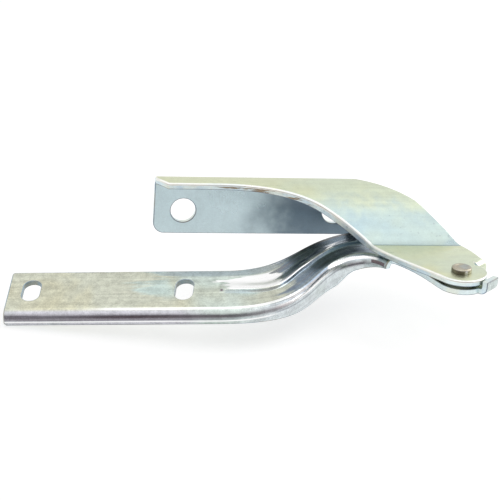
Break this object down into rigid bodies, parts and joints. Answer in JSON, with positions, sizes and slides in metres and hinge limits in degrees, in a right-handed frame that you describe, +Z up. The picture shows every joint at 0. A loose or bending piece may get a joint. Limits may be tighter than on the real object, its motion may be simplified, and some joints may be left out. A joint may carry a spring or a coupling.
{
  "type": "hood hinge",
  "caption": "Gooseneck hood hinge: slotted flanged arm and joggled bracket with a bolt flange, pinned by a shouldered rivet.",
  "frame": {"origin": "midway between the two hood bolt holes, on the face that bolts to the hood", "axes": "+X along the hood flange towards the pivot, +Y out of the hood face, +Z up the pivot's axis"},
  "size_m": [0.2518, 0.0989, 0.0603],
  "materials": {
    "arm_zinc": "bright zinc plate, glossy",
    "bracket_zinc": "bright zinc plate with a pale yellow tint",
    "rivet_zinc": "zinc plate, satin",
    "washer_steel": "satin"
  },
  "bodies": {
    "arm": {"arm": "arm_zinc", "rivet": "rivet_zinc", "spacer_washer": "washer_steel"},
    "bracket": {"bracket": "bracket_zinc"}
  },
  "joints": [
    {"name": "hood_swing", "type": "hinge", "parent": "arm", "child": "bracket", "pos_m": [0.0936, -0.085, 0], "axis": [0, 0, -1], "range_deg": [-12, 48]}
  ]
}
